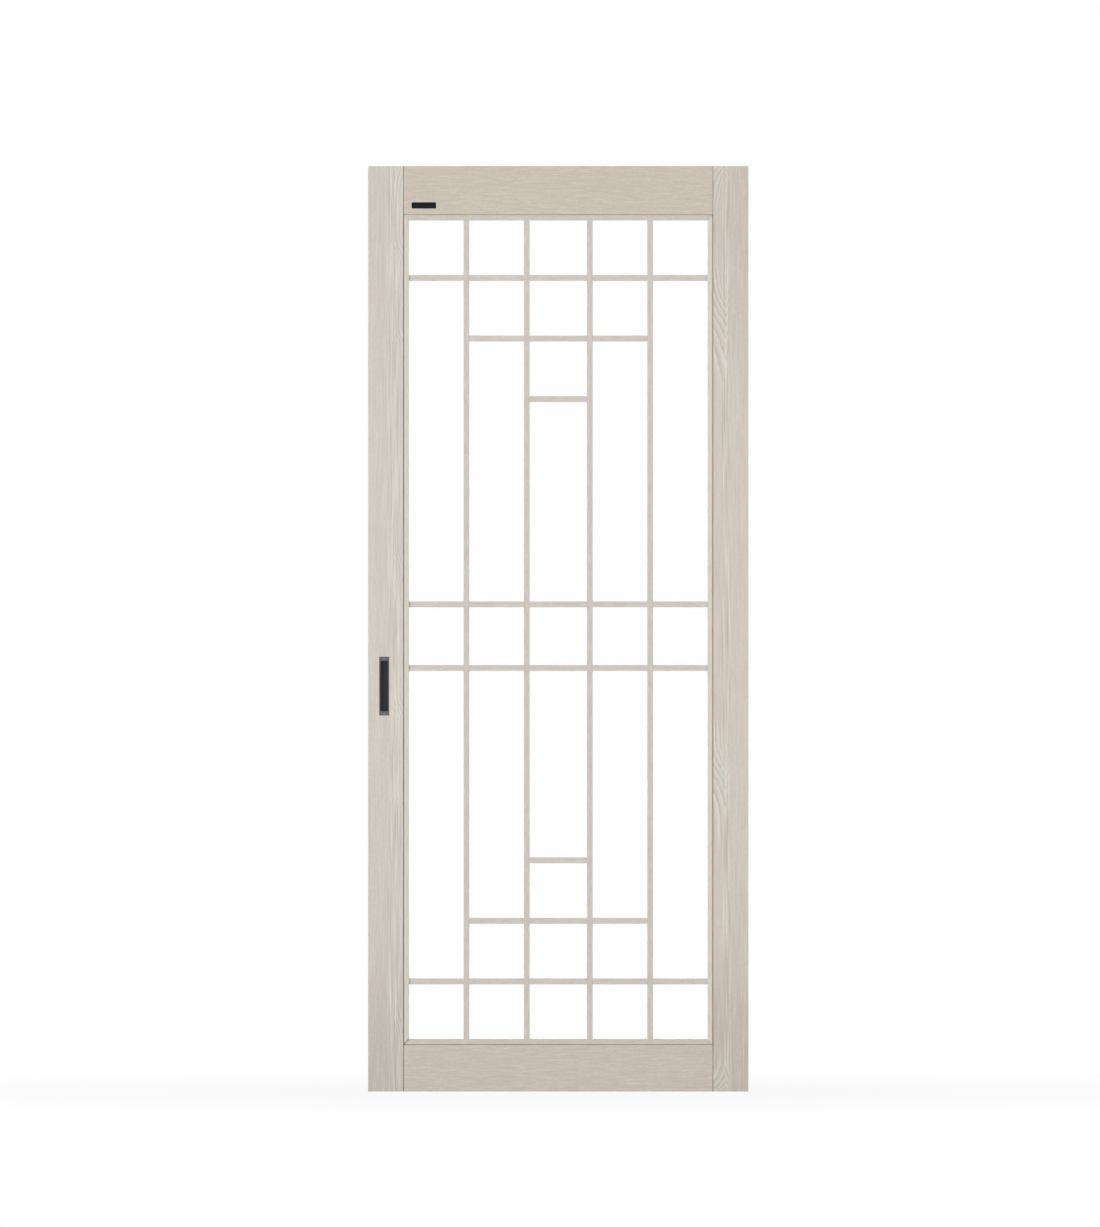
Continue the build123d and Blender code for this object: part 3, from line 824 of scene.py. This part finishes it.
@dataclass
class LeafFrame(SubAssembly):
    """Stiles, rails and their dowels. Each stile wears film with its own figure."""

    left_heart_mm: float = 20.0
    right_heart_mm: float = 29.0
    stile_fibre_mm: float = 70.0
    skin_from_mm: float = 17.0
    groove_mm: float = 0.8
    top_seam_mm: float = 0.3
    bottom_seam_mm: float = 0.9

    def finishes(self) -> dict[str, Finish]:
        """Name the finish of each frame piece.

        Returns:
            Finish by node name.
        """
        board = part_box("left_stile")[1].z
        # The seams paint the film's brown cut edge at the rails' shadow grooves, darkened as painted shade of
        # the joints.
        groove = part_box("bottom_rail")[1].x - self.groove_mm * MM
        return {
            "left_stile": WoodFilm(
                "ash_film_left_stile",
                Grain.UPRIGHT,
                Wrap.OUTER_EDGE,
                "#CBC6BD",
                "#CEC6BD",
                fibre_mm=self.stile_fibre_mm,
                figure=self.left_figure(board),
                skin_from_mm=self.skin_from_mm,
            ),
            "right_stile": WoodFilm(
                "ash_film_right_stile",
                Grain.UPRIGHT,
                Wrap.OUTER_EDGE,
                "#CCC5B9",
                "#CFC5BA",
                fibre_mm=self.stile_fibre_mm,
                figure=self.right_figure(board),
                skin_from_mm=self.skin_from_mm,
            ),
            "top_rail": WoodFilm(
                "ash_film_top_rail",
                Grain.LEVEL,
                Wrap.FACES,
                "#C4BAAD",
                "#C6BAAE",
                seams=(Seam("X", 0.0, groove, self.top_seam_mm),),
                skin_from_mm=self.skin_from_mm,
            ),
            "bottom_rail": WoodFilm(
                "ash_film_bottom_rail",
                Grain.LEVEL,
                Wrap.FACES,
                "#C4BCB1",
                "#C6BBB1",
                seams=(Seam("X", 0.0, groove, self.bottom_seam_mm),),
                skin_from_mm=self.skin_from_mm,
            ),
            "top_rail_dowels": TURNED_BEECH,
            "bottom_rail_dowels": TURNED_BEECH,
        }

    def left_figure(self, board: float) -> Figure:
        """Lay out the pull stile's rings: close, with many short tongues.

        Args:
            board: The board's height, in metres.

        Returns:
            The figure.
        """
        return Figure(
            heart_m=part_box("left_stile")[1].x - self.left_heart_mm * MM,
            outward=-1.0,
            fade_mm=20.0,
            dive=(
                (0.0, 0.3),
                (0.045, 0.28),
                (0.1, 0.47),
                (0.3, 0.31),
                (0.33, 0.46),
                (0.4, 0.32),
                (0.43, 0.5),
                (0.51, 0.34),
                (0.54, 0.42),
                (0.56, 0.33),
                (0.59, 0.46),
                (0.8, 0.3),
                (0.83, 0.46),
                (0.893, 0.31),
                (0.923, 0.52),
                (1.0, 0.4),
            ),
            show=(
                (0.0, 0.4),
                (0.04, 0.6),
                (0.075, 1.0),
                (0.13, 0.4),
                (0.27, 0.35),
                (0.315, 1.0),
                (0.36, 0.45),
                (0.415, 1.0),
                (0.465, 0.4),
                (0.53, 0.7),
                (0.576, 0.9),
                (0.63, 0.35),
                (0.77, 0.4),
                (0.815, 1.0),
                (0.86, 0.5),
                (0.91, 1.0),
                (1.0, 0.8),
            ),
            # Painted shade along the height: darkest at the foot, faint at the head.
            tone=(
                (0.0, 0.38),
                (0.06, 0.36),
                (0.14, 0.15),
                (0.3, 0.03),
                (0.7, 0.0),
                (0.84, 0.1),
                (0.94, 0.13),
                (1.0, 0.1),
            ),
            board_m=board,
            ring_mm=4.2,
            closeness=1.6,
            band_mm=24.0,
        )

    def right_figure(self, board: float) -> Figure:
        """Lay out the other stile's rings: wider, with a few long tongues.

        Args:
            board: The board's height, in metres.

        Returns:
            The figure.
        """
        return Figure(
            heart_m=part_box("right_stile")[0].x + self.right_heart_mm * MM,
            outward=1.0,
            fade_mm=8.0,
            dive=(
                (0.0, 0.28),
                (0.06, 0.75),
                (0.15, 0.55),
                (0.28, 0.8),
                (0.385, 0.2),
                (0.43, 0.16),
                (0.6, 0.6),
                (0.75, 0.9),
                (0.89, 0.16),
                (0.94, 0.1),
                (0.968, 0.22),
                (1.0, 0.55),
            ),
            show=(
                (0.0, 1.0),
                (0.03, 0.8),
                (0.06, 0.1),
                (0.23, 0.1),
                (0.27, 0.7),
                (0.3, 1.0),
                (0.385, 1.0),
                (0.41, 0.2),
                (0.46, 0.1),
                (0.71, 0.1),
                (0.75, 0.5),
                (0.8, 1.0),
                (0.89, 1.0),
                (0.93, 0.7),
                (1.0, 1.0),
            ),
            # Painted shade along the height: darkest at the foot, faint at the head.
            tone=(
                (0.0, 0.32),
                (0.06, 0.36),
                (0.13, 0.12),
                (0.25, 0.0),
                (0.7, 0.0),
                (0.84, 0.12),
                (0.94, 0.2),
                (1.0, 0.16),
            ),
            board_m=board,
            ring_mm=5.2,
            closeness=1.3,
            band_mm=14.0,
        )


@dataclass
class Glazing(SubAssembly):
    """The pane, its setting blocks, its tape and the beads that hold it."""

    seam_mm: float = 1.0
    open_seam_mm: float = 2.4

    def finishes(self) -> dict[str, Finish]:
        """Name the finish of each glazing piece.

        Returns:
            Finish by node name.
        """
        foot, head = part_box("front_bottom_bead")[0].z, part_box("front_top_bead")[1].z
        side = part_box("front_right_bead")[1].x
        middle = (foot + head) / 2
        side_film = WoodFilm(
            "ash_film_side_beads",
            Grain.UPRIGHT,
            Wrap.SIGHT_EDGE,
            "#D3CCC0",
            "#D4CCC0",
            seams=(Seam("X", 0.0, side, self.seam_mm),),
        )
        level_film = WoodFilm(
            "ash_film_level_beads",
            Grain.LEVEL,
            Wrap.SIGHT_EDGE,
            "#C8C0B4",
            "#CAC0B4",
            seams=(Seam("Z", middle, head - middle, self.seam_mm),),
            middle_m=middle,
        )
        # One mitre stands open, at the lower left of the front, and shows the most brown board: a wide brown
        # line that is partly painted shade of the open gap.
        left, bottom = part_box("front_left_bead"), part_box("front_bottom_bead")
        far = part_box("right_stile")[1].x
        slope = (left[1].x - left[0].x) / (bottom[1].z - bottom[0].z)
        open_mitre = Seam("X", far, far - left[0].x, self.open_seam_mm, slope, foot_m=left[0].z)
        worn: dict[str, Finish] = {
            "glass_pane": FloatGlass("clear_float_glass"),
            "setting_blocks": BLACK_RUBBER,
        }
        for face in ("front", "back"):
            worn[f"{face}_glazing_tape"] = FOAM_TAPE
            worn[f"{face}_left_bead"] = side_film
            worn[f"{face}_right_bead"] = side_film
            worn[f"{face}_top_bead"] = level_film
            worn[f"{face}_bottom_bead"] = level_film
        for name, film in (("front_left_bead", side_film), ("front_bottom_bead", level_film)):
            worn[name] = replace(film, name=f"ash_film_{name}", seams=(*film.seams, open_mitre))
        return worn


@dataclass
class Lattice(SubAssembly):
    """The uprights and crossbars on both faces of the glass."""

    def finishes(self) -> dict[str, Finish]:
        """Name the finish of each bar.

        Returns:
            Finish by node name.
        """
        upright_film = WoodFilm("ash_film_uprights", Grain.UPRIGHT, Wrap.ALL_ROUND, "#C7C2BA", "#C9C2BA")
        level_film = WoodFilm("ash_film_crossbars", Grain.LEVEL, Wrap.ALL_ROUND, "#CBC3BA", "#CCC3BB")
        uprights = {name: upright_film for name in self.nodes if "_upright_" in name}
        crossbars = {name: level_film for name in self.nodes if "_crossbar_" in name}
        return uprights | crossbars


@dataclass
class Hardware(SubAssembly):
    """Flush pulls, the blank plate, the rollers and the head guides."""

    def finishes(self) -> dict[str, Finish]:
        """Name the finish of each fitting.

        Returns:
            Finish by node name.
        """
        worn: dict[str, Finish] = {"blank_plate": NAVY_ENAMEL, "guide_shoe_screws": ZINC_PLATE}
        for face in ("front", "back"):
            worn[f"{face}_pull"] = ANTHRACITE_DIE_CAST
            worn[f"{face}_pull_screws"] = BLACKENED_STEEL
        for side in ("left", "right"):
            worn[f"{side}_roller_case"] = ZINC_PLATE
            worn[f"{side}_roller_axle"] = ZINC_PLATE
            worn[f"{side}_roller_screws"] = ZINC_PLATE
            worn[f"{side}_roller_wheel"] = NATURAL_NYLON
            worn[f"{side}_roller_bush"] = SINTERED_BRONZE
            worn[f"{side}_guide_shoe"] = NATURAL_NYLON
        return worn


def seen_ray(tree: bpy.types.NodeTree) -> bpy.types.NodeSocket:
    """Tell the rays that show a backdrop from those that light the leaf.

    Args:
        tree: The node tree of the floor or the world.

    Returns:
        One on camera, glossy and transmission rays, and otherwise zero.
    """
    path = add_node(tree, "ShaderNodeLightPath")
    seen = path.outputs["Is Camera Ray"]
    for ray in ("Is Glossy Ray", "Is Transmission Ray"):
        seen = add_node(
            tree, "ShaderNodeMath", {"operation": "MAXIMUM"}, {0: seen, 1: path.outputs[ray]}
        ).outputs[0]
    return seen


@dataclass(frozen=True)
class PaleFloor(Finish):
    """A seamless white floor: it meets the white backdrop without a line, and keeps a faint shadow.

    From below it is clear, so that the underside of the leaf can be looked at.
    """

    colour: str = "#E6E6E6"
    glow: float = 0.89
    shadow_core_m: float = 0.3
    shadow_reach_m: float = 2.2

    def surface(self, tree: bpy.types.NodeTree) -> bpy.types.NodeSocket:
        """Build the floor's shader.

        Args:
            tree: The material's node tree.

        Returns:
            The shader's output socket.
        """
        matt = add_node(tree, "ShaderNodeBsdfDiffuse", inputs={"Color": to_linear(self.colour)})
        white = add_node(tree, "ShaderNodeEmission", inputs={"Strength": 1.0})
        coords = add_node(tree, "ShaderNodeTexCoord").outputs["Object"]
        away = add_node(tree, "ShaderNodeVectorMath", {"operation": "LENGTH"}, {0: coords}).outputs["Value"]
        spread = Ramp(self.shadow_core_m, self.shadow_reach_m, self.glow, 1.0)
        glow = add_node(
            tree, "ShaderNodeMapRange", {"interpolation_type": "SMOOTHSTEP"}, spread.inputs(away)
        ).outputs["Result"]
        share = add_node(
            tree, "ShaderNodeMath", {"operation": "MULTIPLY"}, {0: seen_ray(tree), 1: glow}
        ).outputs[0]
        top = add_node(
            tree, "ShaderNodeMixShader", inputs={0: share, 1: matt.outputs[0], 2: white.outputs[0]}
        ).outputs[0]
        clear = add_node(tree, "ShaderNodeBsdfTransparent").outputs[0]
        below = add_node(tree, "ShaderNodeNewGeometry").outputs["Backfacing"]
        return add_node(tree, "ShaderNodeMixShader", inputs={0: below, 1: top, 2: clear}).outputs[0]


@dataclass(frozen=True)
class Lamp:
    """A soft square lamp aimed at the middle of the leaf."""

    name: str
    place: tuple[float, float, float]
    size: float
    watts: float

    def light(self, target: Vector) -> None:
        """Hang the lamp.

        Args:
            target: The point that it faces.
        """
        data = bpy.data.lights.new(self.name, "AREA")
        data.size = self.size
        data.energy = self.watts
        lamp = bpy.data.objects.new(self.name, data)
        lamp.location = self.place
        lamp.rotation_euler = (target - lamp.location).to_track_quat("-Z", "Y").to_euler()
        lamp.visible_camera = False
        lamp.visible_transmission = False
        bpy.context.scene.collection.objects.link(lamp)
        LOG.info("lamp %s of %g W", self.name, self.watts)


@dataclass
class Studio:
    """White surround, soft lamps and the long-lens camera, framed as the photograph is."""

    low: Vector
    high: Vector
    lamps: tuple[Lamp, ...] = (
        Lamp("key_upper_left", (-6.0, -8.0, 2.2), 3.0, 518.0),
        Lamp("fill_right", (6.0, -8.0, 1.1), 4.0, 319.0),
        Lamp("rear_left", (-6.0, 8.0, 2.0), 4.0, 400.0),
        Lamp("rear_right", (6.0, 8.0, 2.0), 4.0, 400.0),
    )
    ambient: float = 0.3
    floor_span: float = 80.0
    floor_gap: float = 0.001
    image_px: tuple[float, float] = (1100.0, 1227.0)
    leaf_left_px: float = 368.0
    leaf_right_px: float = 748.55
    leaf_top_px: float = 166.1
    leaf_bottom_px: float = 1091.5
    camera_distance: float = 40.0
    sensor_mm: float = 36.0

    def build(self) -> None:
        """Set up the surround, the lamps, the camera and the view transform."""
        bpy.context.scene.view_settings.view_transform = "Standard"
        self.surround()
        target = (self.low + self.high) / 2
        for lamp in self.lamps:
            lamp.light(target)
        self.camera()

    def surround(self) -> None:
        """Lay the floor and make the white world."""
        half = self.floor_span / 2
        level = self.low.z - self.floor_gap
        corners = [(-half, -half, level), (half, -half, level), (half, half, level), (-half, half, level)]
        mesh = bpy.data.meshes.new("studio_floor")
        mesh.from_pydata(corners, [], [(0, 1, 2, 3)])
        floor = bpy.data.objects.new("studio_floor", mesh)
        floor.data.materials.append(PaleFloor("pale_studio_floor").material())
        bpy.context.scene.collection.objects.link(floor)
        floor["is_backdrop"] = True
        world = bpy.data.worlds.new("white_studio")
        world.use_nodes = True
        tree = world.node_tree
        tree.nodes.clear()
        dim = add_node(tree, "ShaderNodeBackground", inputs={"Strength": self.ambient})
        white = add_node(tree, "ShaderNodeBackground", inputs={"Strength": 1.0})
        for backdrop in (dim, white):
            backdrop.inputs["Color"].default_value = to_linear("#FFFFFF")
        mixed = add_node(
            tree, "ShaderNodeMixShader", inputs={0: seen_ray(tree), 1: dim.outputs[0], 2: white.outputs[0]}
        )
        add_node(tree, "ShaderNodeOutputWorld", inputs={"Surface": mixed.outputs[0]})
        bpy.context.scene.world = world
        LOG.info("floor and white world")

    def camera(self) -> None:
        """Place the camera square on, so that the leaf fills the same pixels as in the photograph."""
        metres_per_px = (self.high.z - self.low.z) / (self.leaf_bottom_px - self.leaf_top_px)
        width_px, height_px = self.image_px
        leaf_x_px = (self.leaf_left_px + self.leaf_right_px) / 2
        leaf_z_px = (self.leaf_top_px + self.leaf_bottom_px) / 2
        centre = (self.low + self.high) / 2
        data = bpy.data.cameras.new("front_camera")
        data.sensor_width = self.sensor_mm
        data.lens = self.sensor_mm * self.camera_distance / (height_px * metres_per_px)
        camera = bpy.data.objects.new("front_camera", data)
        camera.location = (
            centre.x + (width_px / 2 - leaf_x_px) * metres_per_px,
            self.low.y - self.camera_distance,
            centre.z + (leaf_z_px - height_px / 2) * metres_per_px,
        )
        camera.rotation_euler = (math.pi / 2, 0.0, 0.0)
        bpy.context.scene.collection.objects.link(camera)
        bpy.context.scene.camera = camera
        LOG.info("camera with a %.0f mm lens", data.lens)


def main() -> None:
    """Dress the leaf piece by piece and set up the studio round the model's box."""
    logging.basicConfig(level=logging.INFO, format="%(message)s")
    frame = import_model()
    cad_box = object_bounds()
    for part in (LeafFrame, Glazing, Lattice, Hardware):
        part(frame["nodes"]).dress()
    Studio(*cad_box).build()


if __name__ == "__main__":
    main()
